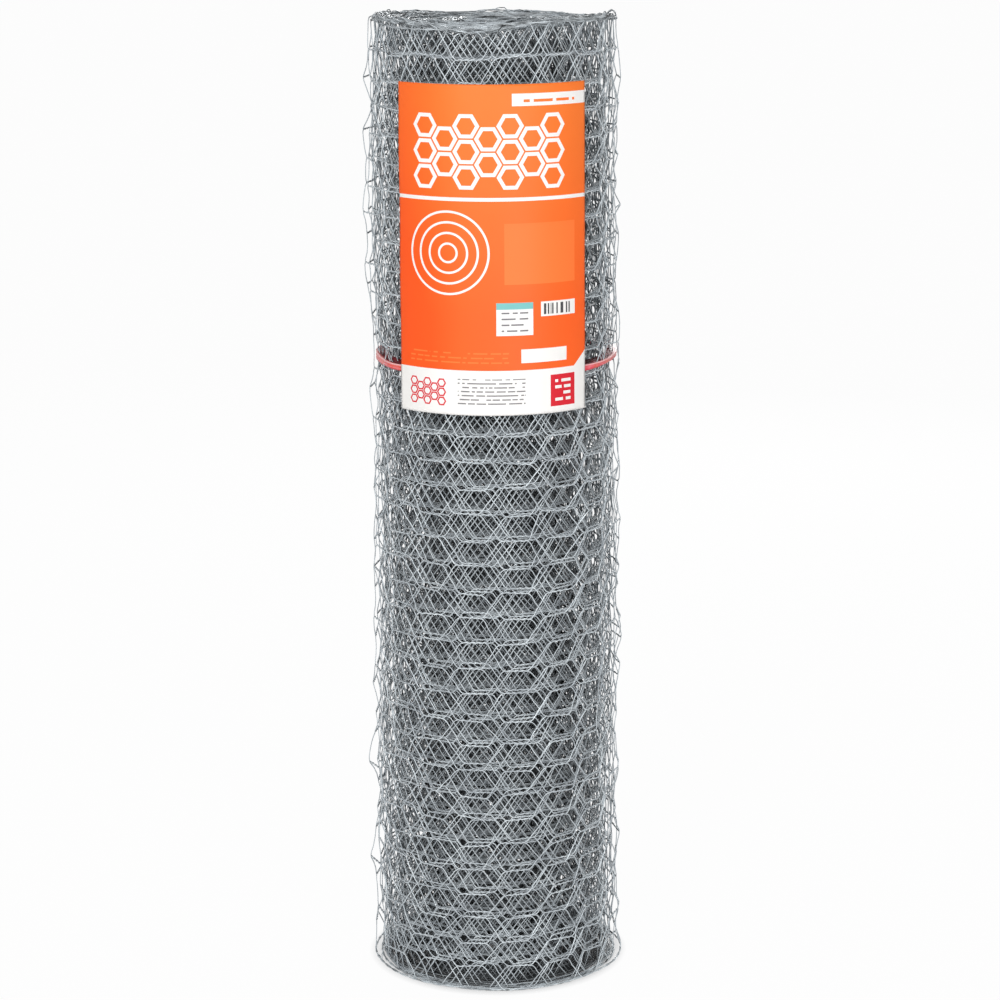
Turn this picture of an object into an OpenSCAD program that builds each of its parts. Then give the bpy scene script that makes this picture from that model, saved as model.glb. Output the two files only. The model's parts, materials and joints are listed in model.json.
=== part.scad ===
// Roll of twisted hexagonal wire netting, standing on one end, with its label card and its plastic tie.
// Millimetres. Z is the winding axis, the lower end rests on z = 0, and the label faces -Y.

/* [Roll] */
// Width of the netting, which is the height of the standing roll
roll_h = 1500; // [900:10:1800]
// Diameter over the last turn, before the taper and the end shaping
roll_d = 379; // [300:1:440]
// Diameter of the hollow core that the winding mandrel leaves
core_d = 80; // [50:1:110]
// Turns wound on the core
turns = 52; // [24:1:60]
// Outer turns that have sprung loose
loose_turns = 2; // [1:1:8]
// Pitch of a loose turn, against a tight one
looseness = 1.7; // [1:0.05:2.5]

/* [Netting] */
// Rows of half cells across the netting
rows = 37; // [20:1:44]
// Thickness of the wire
wire_d = 1.8; // [0.8:0.05:2.5]
// How far the netting sags inward between two rows of twists
row_sag = 1.2; // [0.2:0.1:2]

/* [Outline] */
// How much wider the radius is at the foot than at the top
taper = 2; // [0:0.5:6]
// How far the outer turns splay at the foot
foot_flare = 4; // [0:0.5:8]
// Height over which the foot's splay dies away
foot_length = 85; // [40:5:160]
// How far the outer turns draw in at the top
head_draw = 2.5; // [0:0.5:6]
// Depth over which the draw at the top dies away
head_length = 55; // [30:5:120]

/* [Tie] */
// Height of the tie's middle above the foot of the label card that it holds
tie_rise = 62; // [20:1:180]
// Width of the tie's film
tie_w = 13; // [8:0.5:30]
// Thickness of the tie where its film lies folded
tie_t = 0.6; // [0.3:0.1:1.2]
// How far the tie pinches the roll
tie_pinch = 2.6; // [2:0.1:6]
// Half the height of the pinched waist
waist_length = 60; // [30:5:120]

/* [Label] */
// Height of the label card
label_h = 497; // [200:1:600]
// Width of the label card, measured round the roll
label_w = 312; // [120:1:420]
// Drop from the top of the roll to the top of the card
label_drop = 78; // [40:1:250]
// Thickness of the card
label_t = 0.6; // [0.3:0.1:1.5]

/* [Clearances] */
// Air between two pieces that rest on each other
seat_gap = 0.3; // [0.1:0.05:0.5]

/* [Hidden] */
$fn = 96;

core_r = core_d / 2;
row_pitch = roll_h / rows;
twist_t = 2 * wire_d;                                // two wires wrung together
tight_turns = turns - loose_turns;
wound = turn_step(turns - 1);                        // steps from the first turn to the last
foot_r = outline_r(0);
head_r = outline_r(roll_h);
edge_w = min(twist_t, 0.8 * (head_r - core_r) / (wound + 1)); // bundled edge wires of one turn
edge_crest = 0.22 * edge_w;                          // half the flat that carries the roll
edge_round = 0.35 * edge_w;

label_top = roll_h - label_drop;
label_foot = label_top - label_h;
label_angle = label_w / (PI * (roll_d + taper)) * 360;
label_steps = 12;

tie_z = label_foot + tie_rise;
tie_foot = tie_z - tie_w / 2;
tie_seat = max(surface_r(tie_foot), surface_r(tie_z), surface_r(tie_foot + tie_w)); // widest netting under it
tie_r = tie_seat + seat_gap;

// Radius over the crests of the twist rows, without the pinch of the tie.
function outline_r(z) = roll_d / 2 + taper * (1 - z / roll_h)
    + foot_flare * exp(-z / foot_length)
    - head_draw * exp((z - roll_h) / head_length);

// Pinch of the tie at a height.
function pinch(z) = tie_pinch * exp(-pow((z - tie_z) / waist_length, 2));

// Share of the full sag at a height: none on a row of twists, all of it halfway between two.
function sag_share(z) = let(s = z / row_pitch) 1 - abs(2 * (s - floor(s)) - 1);

// Outer surface of the roll at a height.
function surface_r(z) = outline_r(z) - pinch(z) - row_sag * sag_share(z);

// Distance of a turn from the first one, in tight pitches.
function turn_step(i) = min(i, tight_turns) + looseness * max(0, i - tight_turns);

// Middle radius of a turn at an end whose last turn reaches rim_r.
function turn_r(i, rim_r) = core_r + edge_w / 2 + (rim_r - edge_w - core_r) * turn_step(i) / wound;

// Depth of the groove between a turn and the next one.
function groove(i, rim_r) = 0.8 * edge_w + 1.4 * (turn_r(i + 1, rim_r) - turn_r(i, rim_r) - edge_w);

// One turn's rounded edge, as [radius, distance in from the end], from the core outwards.
// The first one stands square on the bore, and the last one runs out into the side.
function turn_edge(i, rim_r) = let(r = turn_r(i, rim_r), half = edge_w / 2) concat(
    i == 0 ? [[core_r, 0]] : [[r - half, groove(i - 1, rim_r)], [r - half, edge_round], [r - edge_crest, 0]],
    [[r + edge_crest, 0], [r + half, edge_round]],
    i == turns - 1 ? [] : [[r + half, groove(i, rim_r)]]);

function end_profile(rim_r) = [for (i = [0 : turns - 1]) each turn_edge(i, rim_r)];

function reversed(list) = [for (i = [len(list) - 1 : -1 : 0]) list[i]];

// The side, row by row: a sagging stretch of netting, then the ring of the next row's twists.
function side_profile() = [for (row = [0 : rows - 1]) let(mid = (row + 0.5) * row_pitch, top = (row + 1) * row_pitch)
    each row == rows - 1
        ? [[surface_r(mid), mid]]
        : [[surface_r(mid), mid],
           [outline_r(top) - pinch(top), top - twist_t / 2],
           [outline_r(top) - pinch(top), top + twist_t / 2]]];

// The netting wound on its core: one turned solid with its bore, and each turn's edge on both ends.
module mesh_roll() {
    color([0.62, 0.64, 0.66])
        rotate_extrude()
            polygon(concat(
                end_profile(foot_r),
                side_profile(),
                [for (p = reversed(end_profile(head_r))) [p[0], roll_h - p[1]]]));
}

// The film tied round the waist, under the label.
module tie_band() {
    color([0.86, 0.24, 0.28])
        rotate_extrude()
            translate([tie_r, tie_foot])
                square([tie_t, tie_w]);
}

// The printed card, bent round the front and following the roll's taper.
module label_card() {
    heights = [for (i = [0 : label_steps]) label_foot + label_h * i / label_steps];
    back = [for (z = heights) [outline_r(z) + seat_gap, z]];
    front = [for (z = reversed(heights)) [outline_r(z) + seat_gap + label_t, z]];
    color([0.95, 0.42, 0.18])
        rotate([0, 0, -90 - label_angle / 2])
            rotate_extrude(angle = label_angle)
                polygon(concat(back, front));
}

mesh_roll();
tie_band();
label_card();
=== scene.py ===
"""Looks of a standing roll of hexagonal wire netting, with its printed card and its plastic tie.

The netting is made wire by wire. Each wire zigzags between two rows of twists, and in each twist it winds
round its neighbour. The whole web lies on one spiral from the hollow core to the sprung outer turns.
Lengths are in metres, +Z is the winding axis and the card faces -Y.
"""

from __future__ import annotations

import json
import logging
import math
from dataclasses import dataclass, field
from enum import Enum
from functools import partialmethod
from typing import Sequence

import bpy
import numpy as np
from mathutils import Matrix, Vector


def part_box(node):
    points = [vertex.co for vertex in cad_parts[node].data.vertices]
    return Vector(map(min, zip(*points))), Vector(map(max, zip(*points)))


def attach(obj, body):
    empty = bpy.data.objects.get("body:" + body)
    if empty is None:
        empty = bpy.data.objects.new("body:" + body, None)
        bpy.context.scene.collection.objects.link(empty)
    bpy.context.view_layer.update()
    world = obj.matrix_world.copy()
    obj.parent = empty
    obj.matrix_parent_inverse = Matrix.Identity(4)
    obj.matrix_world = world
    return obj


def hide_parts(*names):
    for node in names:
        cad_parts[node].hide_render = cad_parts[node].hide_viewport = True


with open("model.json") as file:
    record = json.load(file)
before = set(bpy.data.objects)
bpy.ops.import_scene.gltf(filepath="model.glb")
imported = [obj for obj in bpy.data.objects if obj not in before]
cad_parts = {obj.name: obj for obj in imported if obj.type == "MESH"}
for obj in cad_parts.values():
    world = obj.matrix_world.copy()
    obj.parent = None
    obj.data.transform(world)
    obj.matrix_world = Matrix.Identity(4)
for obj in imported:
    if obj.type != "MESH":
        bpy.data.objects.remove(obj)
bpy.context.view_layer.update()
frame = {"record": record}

log = logging.getLogger("netting_roll")

MM = 0.001
TAU = 2.0 * math.pi
FRONT = -0.5 * math.pi  # angle of -Y, where the card is
SIDEWAYS = np.array([1.0, 1.0, 0.0])  # keeps the part of a point that is square to the axis
UP = np.array([0.0, 0.0, 1.0])
Place = tuple[float, float, float]
Colour = tuple[float, float, float, float]
Inputs = dict[str | int, object]


def smooth_step(x: np.ndarray, low: float, high: float) -> np.ndarray:
    """Rise from 0 at low to 1 at high along the cubic 3t^2 - 2t^3; low may be the larger one.

    Args:
        x: Values to grade.
        low: Where the rise begins.
        high: Where it ends.

    Returns:
        The graded values, from 0 to 1.
    """
    t = np.clip((x - low) / (high - low), 0.0, 1.0)
    return t * t * (3.0 - 2.0 * t)


def unit(v: np.ndarray) -> np.ndarray:
    """Vectors divided by their lengths, along the last axis."""
    return v / np.maximum(np.linalg.norm(v, axis=-1, keepdims=True), 1e-12)


def outward(points: np.ndarray) -> np.ndarray:
    """Directions away from the roll's axis."""
    return unit(points * SIDEWAYS)


def off_angle(angle: np.ndarray, middle: float) -> np.ndarray:
    """How far an angle lies past a middle, from -pi to pi."""
    return (angle - middle + math.pi) % TAU - math.pi


def between(first: float, second: float, share: np.ndarray) -> np.ndarray:
    """Values on the way from the first, at share 0, to the second, at share 1."""
    return first + (second - first) * share


def hump(x: np.ndarray, width: float) -> np.ndarray:
    """Bell curve exp(-(x / width)^2)."""
    return np.exp(-((x / width) ** 2))


def cylindrical(radius: np.ndarray, angle: np.ndarray, z: np.ndarray) -> np.ndarray:
    """Points (radius cos angle, radius sin angle, z), with the three on a new last axis."""
    radius, angle, z = np.broadcast_arrays(radius, angle, z)
    return np.stack([radius * np.cos(angle), radius * np.sin(angle), z], axis=-1)


def grid_faces(rows: int, columns: int, closed: bool) -> np.ndarray:
    """Quads of a grid of points, numbered row by row.

    Args:
        rows: Points along the first parameter.
        columns: Points along the second one.
        closed: Whether the last column joins the first.

    Returns:
        Corner numbers, one row of four for each quad.
    """
    i = np.arange(rows - 1)[:, None]
    j = np.arange(columns if closed else columns - 1)[None, :]
    k = (j + 1) % columns
    corners = [i * columns + j, (i + 1) * columns + j, (i + 1) * columns + k, i * columns + k]
    return np.stack([np.broadcast_to(c, (rows - 1, j.shape[1])) for c in corners], axis=-1).reshape(-1, 4)


def make_piece(
        name: str, points: np.ndarray, faces: Sequence[np.ndarray], smooth: bool = True) -> bpy.types.Object:
    """Put arrays into a new mesh object at the origin.

    Args:
        name: The piece's name.
        points: Vertex places, (n, 3).
        faces: One array of corner numbers for each number of corners.
        smooth: Whether the faces are shaded smooth.

    Returns:
        The linked object.
    """
    mesh = bpy.data.meshes.new(name)
    mesh.vertices.add(len(points))
    mesh.vertices.foreach_set("co", np.ascontiguousarray(points, dtype=np.float32).ravel())
    corners = np.concatenate([f.ravel() for f in faces]).astype(np.int32)
    sizes = np.concatenate([np.full(len(f), f.shape[1]) for f in faces]).astype(np.int32)
    starts = np.concatenate([[0], np.cumsum(sizes)[:-1]]).astype(np.int32)
    mesh.loops.add(len(corners))
    mesh.loops.foreach_set("vertex_index", corners)
    mesh.polygons.add(len(sizes))
    mesh.polygons.foreach_set("loop_start", starts)
    mesh.polygons.foreach_set("loop_total", sizes)
    mesh.polygons.foreach_set("use_smooth", np.full(len(sizes), smooth))
    mesh.update(calc_edges=True)
    mesh.validate()
    piece = bpy.data.objects.new(name, mesh)
    bpy.context.scene.collection.objects.link(piece)
    return piece


def set_uv(piece: bpy.types.Object, name: str, uv: np.ndarray) -> None:
    """Give a piece a UV map from one (u, v) pair for each vertex.

    Args:
        piece: The piece.
        name: Name of the map.
        uv: Pairs, (vertices, 2).
    """
    layer = piece.data.uv_layers.new(name=name)
    corners = np.empty(len(piece.data.loops), dtype=np.int32)
    piece.data.loops.foreach_get("vertex_index", corners)
    layer.uv.foreach_set("vector", uv[corners].astype(np.float32).ravel())


def set_values(piece: bpy.types.Object, name: str, values: np.ndarray) -> None:
    """Give a piece an attribute from one number for each vertex."""
    layer = piece.data.attributes.new(name=name, type="FLOAT", domain="POINT")
    layer.data.foreach_set("value", values.astype(np.float32))


def wire_skin(paths: np.ndarray, radius: float, sides: int) -> tuple[np.ndarray, list[np.ndarray]]:
    """Skin wires along their paths, with a closed end at each side.

    Each ring lies square to the path: its points are path + reach (cos b n + sin b (t x n)), where t is the
    mean direction of the two stretches that meet there, and n is the direction away from the roll's axis,
    made square to t. With k flats, reach is pi radius / (k sin(pi / k)), so that on average they look as wide
    as the round wire.

    Args:
        paths: Points of the wires' middle lines, (wires, points, 3).
        radius: Radius of the wire.
        sides: Flats round the wire.

    Returns:
        The vertices and the face arrays, for make_piece.
    """
    wires, count, _ = paths.shape
    ahead = unit(np.diff(paths, axis=1))
    tangent = unit(np.concatenate([ahead[:, :1], ahead[:, :-1] + ahead[:, 1:], ahead[:, -1:]], axis=1))
    away = outward(paths)
    normal = unit(away - (away * tangent).sum(-1, keepdims=True) * tangent)
    side = np.cross(tangent, normal)
    turn = (np.arange(sides) + 0.5) * TAU / sides
    reach = radius * math.pi / (sides * math.sin(math.pi / sides))
    ring = np.cos(turn)[:, None] * normal[..., None, :] + np.sin(turn)[:, None] * side[..., None, :]
    points = paths[:, :, None, :] + reach * ring
    first = (np.arange(wires) * count * sides)[:, None, None]
    quads = (grid_faces(count, sides, closed=True)[None, :, ::-1] + first).reshape(-1, 4)
    start = np.arange(sides)[None, ::-1] + first[:, :, 0]
    end = np.arange(sides)[None, :] + (count - 1) * sides + first[:, :, 0]
    return points.reshape(-1, 3), [quads, np.concatenate([start, end])]


@dataclass(frozen=True)
class Waves:
    """A smooth, repeatable unevenness: a sum of seeded sine waves of two parameters.

    Attributes:
        seed: Seed of the draw.
        count: Number of waves.
        around: Most waves round one turn, for the first parameter, an angle.
        along: Most waves in each metre, for the second parameter.
    """

    seed: int
    count: int
    around: int
    along: float

    def __call__(self, angle: np.ndarray, place: np.ndarray) -> np.ndarray:
        """Sum of sin(n angle + k place + p), divided so that it mostly lies between -1 and 1."""
        draw = np.random.default_rng(self.seed)
        total = np.zeros(np.broadcast_shapes(np.shape(angle), np.shape(place)))
        for _ in range(self.count):
            n = draw.integers(1, self.around + 1) * draw.choice([-1, 1])
            k, p = draw.uniform(0.2, 1.0) * self.along * TAU, draw.uniform(0.0, TAU)
            total = total + np.sin(n * angle + k * place + p)
        return total / math.sqrt(2.0 * self.count)


@dataclass(frozen=True)
class Bell:
    """A bell curve round the roll.

    Attributes:
        size: How high it is.
        middle: Angle of its middle.
        width: Half the angle that it spans.
    """

    size: float
    middle: float
    width: float

    def share(self, angle: np.ndarray) -> np.ndarray:
        """exp(-(d / width)^2), with d the way from its middle."""
        return hump(off_angle(angle, self.middle), self.width)


@dataclass(frozen=True)
class Facets:
    """How finely a wire is modelled.

    Attributes:
        sides: Flats round the wire.
        twist_steps: Stretches along a twist.
        slope_stops: Where a sloping stretch has rings, as shares of its length.
        edge_step: Length of an edge strand between two rings.
    """

    sides: int
    twist_steps: int
    slope_stops: tuple[float, ...]
    edge_step: float = 16 * MM


class Detail(Enum):
    """Fineness of the turns, from the outer ones that show to those deep inside."""

    OUTER = Facets(4, 16, (0.04, 0.13, 0.35, 0.65, 0.87, 0.96), 8 * MM)
    MIDDLE = Facets(3, 8, (0.05, 0.5, 0.95))
    CORE = Facets(3, 1, ())


@dataclass(frozen=True)
class Outline:
    """The roll's outer shape, the same as its solid's.

    Attributes:
        height: Height of the roll.
        radius: Outer radius at the top, before the shaping of the ends.
        taper: How much wider the radius is at the foot.
        foot_flare: How far the outer turns splay at the foot.
        foot_length: Height over which the splay dies away.
        head_draw: How far they draw in at the top.
        head_length: Depth over which that dies away.
        tie_pinch: How far the tie pinches the roll.
        tie_z: Height of the tie.
        waist_length: Half the height of the pinched waist.
    """

    height: float
    tie_z: float
    radius: float = 189.5 * MM
    taper: float = 2.0 * MM
    foot_flare: float = 4.0 * MM
    foot_length: float = 85.0 * MM
    head_draw: float = 2.5 * MM
    head_length: float = 55.0 * MM
    tie_pinch: float = 2.6 * MM
    waist_length: float = 60.0 * MM

    def middle(self) -> float:
        """Radius halfway up."""
        return float(self.crest(np.float64(0.5 * self.height)))

    def crest(self, z: np.ndarray) -> np.ndarray:
        """Radius over the twists at height z, without the tie's pinch."""
        foot = self.foot_flare * np.exp(-z / self.foot_length)
        head = self.head_draw * np.exp((z - self.height) / self.head_length)
        return self.radius + self.taper * (1.0 - z / self.height) + foot - head

    def pinched(self, z: np.ndarray) -> np.ndarray:
        """Radius over the twists at height z, with the tie's pinch."""
        return self.crest(z) - self.tie_pinch * hump(z - self.tie_z, self.waist_length)


@dataclass(frozen=True)
class CardPlace:
    """Where the card lies on the roll.

    Attributes:
        foot: Height of its lower edge.
        top: Height of its upper edge.
        half_angle: Half the angle that it spans round the roll.
        seat: Air between the netting and the card.
        thickness: Thickness of the card.
        beside: Angle from its side edges over which the turns come free of it, from and to.
        beyond: Distance from its upper and lower edges over which they do, from and to.
    """

    foot: float
    top: float
    half_angle: float
    seat: float
    thickness: float
    beside: tuple[float, float] = (0.05, 0.28)
    beyond: tuple[float, float] = (12 * MM, 60 * MM)

    def cover(self, angle: np.ndarray, z: np.ndarray) -> np.ndarray:
        """1 under the card, and a soft fall to 0 round it."""
        off = np.abs(off_angle(angle, FRONT))
        near, far = self.beyond
        beside = smooth_step(off, self.half_angle + self.beside[1], self.half_angle + self.beside[0])
        above = smooth_step(z, self.top + far, self.top + near)
        below = smooth_step(z, self.foot - far, self.foot - near)
        return beside * above * below


@dataclass(frozen=True)
class Winding:
    """The spiral that the netting is wound on.

    Attributes:
        outline: The roll's outer shape.
        card: The card, under which the turns lie flat.
        core_radius: Radius of the hollow core.
        turns: Turns from the core to the free end.
        loose_turns: Outer turns that have sprung loose.
        looseness: Pitch of a loose turn, against a tight one.
        end_angle: Where the free end lies.
        climb: How much of each turn's climb happens near the free end's angle, from 0 to 1.
        climb_lag: How far round the climb lies past the free end.
        level: Part of the last turn that no longer climbs.
        reserve: How far the outermost turn stays inside the outline.
        press: How far the card and the tie press the outer turns in.
        tie_reach: Half the height over which the tie presses them.
        slack: How loosely the tie holds the last turn at +X, from 0 to 1.
        freed: Outer turns over which the looseness grows.
        sway: How far the loose turns swell and dip.
        spring: How far the last turn stands off the others.
        bend: How far the roll bends to its side.
        crowd: How far the outer turns are crowded outwards in the upper half, as a share of their depth.
        crowd_depth: Depth under the outer turns within which they are.
        crowd_low: The part of that crowding that is left in the lower half.
        foot_gap: How far the turns inside the last one draw in at the foot.
        telescope: How far a turn slides along the axis.
        settle: How much further it has slid in the lower half.
        ripples: How fast the sinking and the lifting of the edges change with the slide.
        sink: How far a turn's upper edge sinks.
        lift: How far a turn's lower edge lifts.
        stand: How far the upper edges stand above the roll's height.
        core_stand: How much higher the innermost turns stand.
        saddle: How much higher the outer turns stand at both sides of the roll.
        slant: How much higher still they stand at +X, and how much less high at -X, as a share.
        dip: How much lower they stand at the front.
        loop: How much higher a loop of the last turn's edge stands.
        droop: How much lower the last turn's edge hangs round the corner at +X.
        wander: How far a turn's upper edge strays up and down.
        fray: How far it strays in and out.
        core_turns: Innermost turns that don't fray.
        core_gap: How far the first turn lies off the core.
        swell: The unevenness of the radius, by angle and height.
        slide: The unevenness of the slide, by turn count.
        stray: The unevenness of the upper edges, by angle and turn count.
    """

    outline: Outline
    card: CardPlace
    core_radius: float
    turns: float = 52.0
    loose_turns: float = 2.0
    looseness: float = 1.7
    end_angle: float = 0.62 * math.pi
    climb: float = 0.85
    climb_lag: float = 0.3
    level: float = 0.67
    reserve: float = -1.0 * MM
    press: float = 2.2 * MM
    tie_reach: float = 28.0 * MM
    slack: float = 0.45
    freed: float = 6.0
    sway: float = 3.2 * MM
    spring: float = 2.6 * MM
    bend: float = 3.2 * MM
    crowd: float = 0.7
    crowd_depth: float = 20.0 * MM
    crowd_low: float = 0.65
    foot_gap: float = 5.0 * MM
    telescope: float = 6.5 * MM
    settle: float = 8.0 * MM
    ripples: float = 3.5
    sink: float = 1.3 * MM
    lift: float = 1.9 * MM
    stand: float = 3.0 * MM
    core_stand: float = 4.0 * MM
    saddle: float = 10.3 * MM
    slant: float = 0.21
    dip: Bell = Bell(4.0 * MM, FRONT - 0.15, 0.31)
    loop: Bell = Bell(0.5 * MM, 1.0, 0.16)
    droop: Bell = Bell(8.5 * MM, -0.04, 0.28)
    wander: float = 4.5 * MM
    fray: float = 1.8 * MM
    core_turns: float = 6.0
    core_gap: float = 1.8 * MM
    swell: Waves = Waves(seed=11, count=7, around=5, along=3.2)
    slide: Waves = Waves(seed=23, count=9, around=1, along=0.6)
    stray: Waves = Waves(seed=37, count=12, around=23, along=0.7)

    def angle(self, turn: np.ndarray) -> np.ndarray:
        """Angle round the axis at a turn count, which ends at end_angle."""
        return self.end_angle - TAU * (self.turns - turn)

    def base_radius(self, turn: np.ndarray) -> np.ndarray:
        """Mean radius at a turn count.

        It grows by one pitch in a tight turn and by looseness times that in a loose one. The count t is first
        warped to t + climb sin(2 pi (t - end) + lag) / 2 pi, and held in the level part, so that a turn is
        nearly round at the front and climbs at the back, where the free end lies.
        """
        whole = self.turns - self.level
        climbed = self.climb * np.sin(TAU * (turn - self.turns) + self.climb_lag) / TAU
        warped = np.minimum(turn + climbed, whole)
        tight = whole - self.loose_turns
        steps = np.minimum(warped, tight) + self.looseness * np.maximum(warped - tight, 0.0)
        longest = tight + self.looseness * self.loose_turns
        inner = self.core_radius + self.core_gap
        outer = self.outline.middle() - self.reserve
        return inner + (outer - inner) * np.maximum(steps, 0.0) / longest

    def looseness_at(self, turn: np.ndarray) -> np.ndarray:
        """0 in the tight turns, and 1 at the free end."""
        return smooth_step(turn, self.turns - self.freed, self.turns - 0.3)

    def radius(self, turn: np.ndarray, z: np.ndarray) -> np.ndarray:
        """Radius at a turn count and a height.

        It is the base radius, plus the outline's own swelling, which fades towards the core, plus the sway of
        the loose turns, the spring of the last one, and the bend of the roll, which is a sine of the height.
        Under the card and the tie the turns are pressed in, with no bend and hardly any spring, and the sway
        is a slight dip. At -X the last turn passes outside the tie, and at +X it is held loosely. A turn at
        depth d is crowded outwards by crowd d exp(-d / crowd depth), and by less in the lower half. The upper
        edges fray in and out, but for the turns at the core.
        """
        angle = self.angle(turn)
        height = self.outline.height
        middle = self.outline.middle()
        base = self.base_radius(turn)
        cover = self.card.cover(angle, z)
        final = smooth_step(turn, self.turns - 1.3, self.turns - 0.95)
        sideways = np.cos(angle)
        outside = np.where(sideways < 0.0, 1.0, self.slack) * smooth_step(np.abs(sideways), 0.8, 0.96)
        held = 1.0 - final * outside
        tie = held * hump(z - self.outline.tie_z, self.tie_reach)
        free = (1.0 - cover) * (1.0 - 0.8 * tie)

        swollen = self.swell(angle, z)
        calm = 1.0 - 0.8 * smooth_step(z, 0.6 * height, 0.95 * height)
        sway = self.sway * (free * (0.45 + calm * swollen) - 0.1 * cover - 0.2 * tie)
        last = smooth_step(turn, self.turns - 1.7, self.turns - 1.0)
        spring = self.spring * last * smooth_step(z, 0.6 * height, 0.1 * height) * free * (0.8 - swollen)
        crown = smooth_step(z, height - 0.05, height) * (turn > self.core_turns)
        fray = self.fray * self.stray(angle + 1.0, turn) * crown

        bend = self.bend * np.sin(TAU * (z / height - 0.3) / 0.8) * smooth_step(z, 0.0, 0.3) * sideways
        bend = bend * smooth_step(z, height - 0.04, height - 0.2)
        pressed = self.press * np.maximum(cover, tie)
        waist = self.outline.crest(z) + held * (self.outline.pinched(z) - self.outline.crest(z))
        gap = self.foot_gap * (1.0 - final) * smooth_step(z, 0.16, 0.0)
        share = np.clip(turn / self.turns, 0.0, 1.0) ** 3  # hardly any of it reaches the core
        shaped = share * (waist - middle + bend * (1.0 - cover) - pressed - gap)

        deep = np.maximum(middle - base, 0.0)
        upper = between(self.crowd_low, 1.0, smooth_step(z, 0.55 * height, 0.75 * height))
        crowded = self.crowd * upper * deep * np.exp(-deep / self.crowd_depth)
        return base + shaped + crowded + self.looseness_at(turn) * sway + spring + fray

    def brim(self, angle: np.ndarray, outer: np.ndarray) -> np.ndarray:
        """How far the upper edges stand above the roll's height at an angle.

        It is stand + outer (saddle (1 + slant cos a) (1 - g) (1 - b) - dip g), where g is a bell curve about
        the dip, b a step of sin(a + 0.35) that is 1 at the back, and outer is 1 in the outer turns.
        """
        front = self.dip.share(angle)
        back = smooth_step(np.sin(angle + 0.35), 0.0, 0.9)
        sides = self.saddle * (1.0 + self.slant * np.cos(angle)) * (1.0 - front) * (1.0 - back)
        return self.stand + outer * (sides - self.dip.size * front)

    def rise(self, turn: np.ndarray, z: np.ndarray) -> np.ndarray:
        """How far a turn has slid along the axis at a height.

        Between the ends, it has slid up or down by a wave s of the turn count, and less in the tight turns.
        In the lower half another wave adds to it, so that the rows of twists drift apart towards the foot.
        Its upper edge follows the brim, strays, and sinks by sink (1 + sin ripples s). In the last turn that
        edge has one loop, and droops along a bell curve at +X. The lower edge lifts in the same way as the
        upper one sinks.
        """
        slid = self.slide(np.float64(0.0), turn)
        angle = self.angle(turn)
        crown = smooth_step(z, self.outline.height - 0.07, self.outline.height)
        foot = smooth_step(z, 0.14, 0.0)
        free = (0.5 + 0.5 * self.looseness_at(turn)) * (1.0 - foot) * (1.0 - crown)
        ripple = 1.0 + np.sin(self.ripples * slid)
        outer = smooth_step(turn, 0.45 * self.turns, 0.95 * self.turns)
        loop, droop = (bell.size * bell.share(angle) for bell in (self.loop, self.droop))
        last = (turn > self.turns - 1.0) * (loop - droop)
        core = self.core_stand * smooth_step(turn, 0.3 * self.turns, 0.0)
        strayed = self.wander * self.stray(angle, turn) - self.sink * ripple
        top = self.brim(angle, outer) + core + last + strayed
        lower = smooth_step(z, 0.6 * self.outline.height, 0.2)
        settled = self.settle * self.slide(angle + 2.0, turn + 0.4) * lower
        return (self.telescope * slid + settled) * free + self.lift * foot * ripple + top * crown


@dataclass(frozen=True)
class Shelter:
    """How much the netting shelters its own inside from the light.

    Attributes:
        winding: The winding.
        skin: Radius outside which the wire is at its brightest.
        heart: Radius inside which it is at its darkest.
        sill: How much deeper the light reaches close to the foot.
        depth: Depth under the brim over which it darkens.
        dark: How bright the heart is.
        glimmer: How much brighter the heart is close under the upper end.
        ends: How bright the inner turns' upper edges are.
        rim: How bright the outermost turns' upper edges are.
        foot: How bright the inner turns' lower edges are, against the netting above them.
        rim_band: Radii from which, and at which fully, an upper edge counts as outermost.
        foot_band: The same for a lower edge.
        tangle: How unevenly the edges at both ends are lit.
        patches: That unevenness, by angle and radius.
    """

    winding: Winding
    skin: float = 184 * MM
    heart: float = 112 * MM
    sill: float = 20 * MM
    depth: float = 16 * MM
    dark: float = 0.13
    glimmer: float = 0.17
    ends: float = 0.88
    rim: float = 0.64
    foot: float = 0.1
    rim_band: tuple[float, float] = (160 * MM, 188 * MM)
    foot_band: tuple[float, float] = (167 * MM, 185 * MM)
    tangle: float = 0.85
    patches: Waves = Waves(seed=47, count=14, around=43, along=110.0)

    def __call__(self, points: np.ndarray) -> np.ndarray:
        """Light at each point, from 0 to 1.

        Along the roll it grows with the radius from dark to 1. Close to the brim it changes over to that of
        the edges, which is uneven. Close to the foot it is held below an uneven value that grows with the
        radius.
        """
        radius, z = np.hypot(points[:, 0], points[:, 1]), points[:, 2]
        angle = np.arctan2(points[:, 1], points[:, 0])
        height = self.winding.outline.height
        dark = self.dark + self.glimmer * smooth_step(z, height - 0.13, height - 0.03)
        heart = self.heart - self.sill * smooth_step(z, 0.14, 0.03)
        deep = np.clip((radius - heart) / (self.skin - self.heart), 0.0, 1.0)
        brim = height + self.winding.brim(angle, smooth_step(radius, 0.09, 0.17))
        uneven = 1.0 + self.tangle * self.patches(angle, radius)
        edge = between(self.ends, self.rim, smooth_step(radius, *self.rim_band)) * uneven
        crown = smooth_step(z, brim - self.depth, brim - 0.25 * self.depth)
        light = between(dark, 1.0, deep) * (1.0 - crown) + edge * crown
        low = between(self.foot, 1.0, smooth_step(radius, *self.foot_band)) * uneven
        most = np.maximum(smooth_step(z, 4 * MM, 10 * MM), low)
        return np.clip(np.minimum(light, most), 0.0, 1.0)


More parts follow.
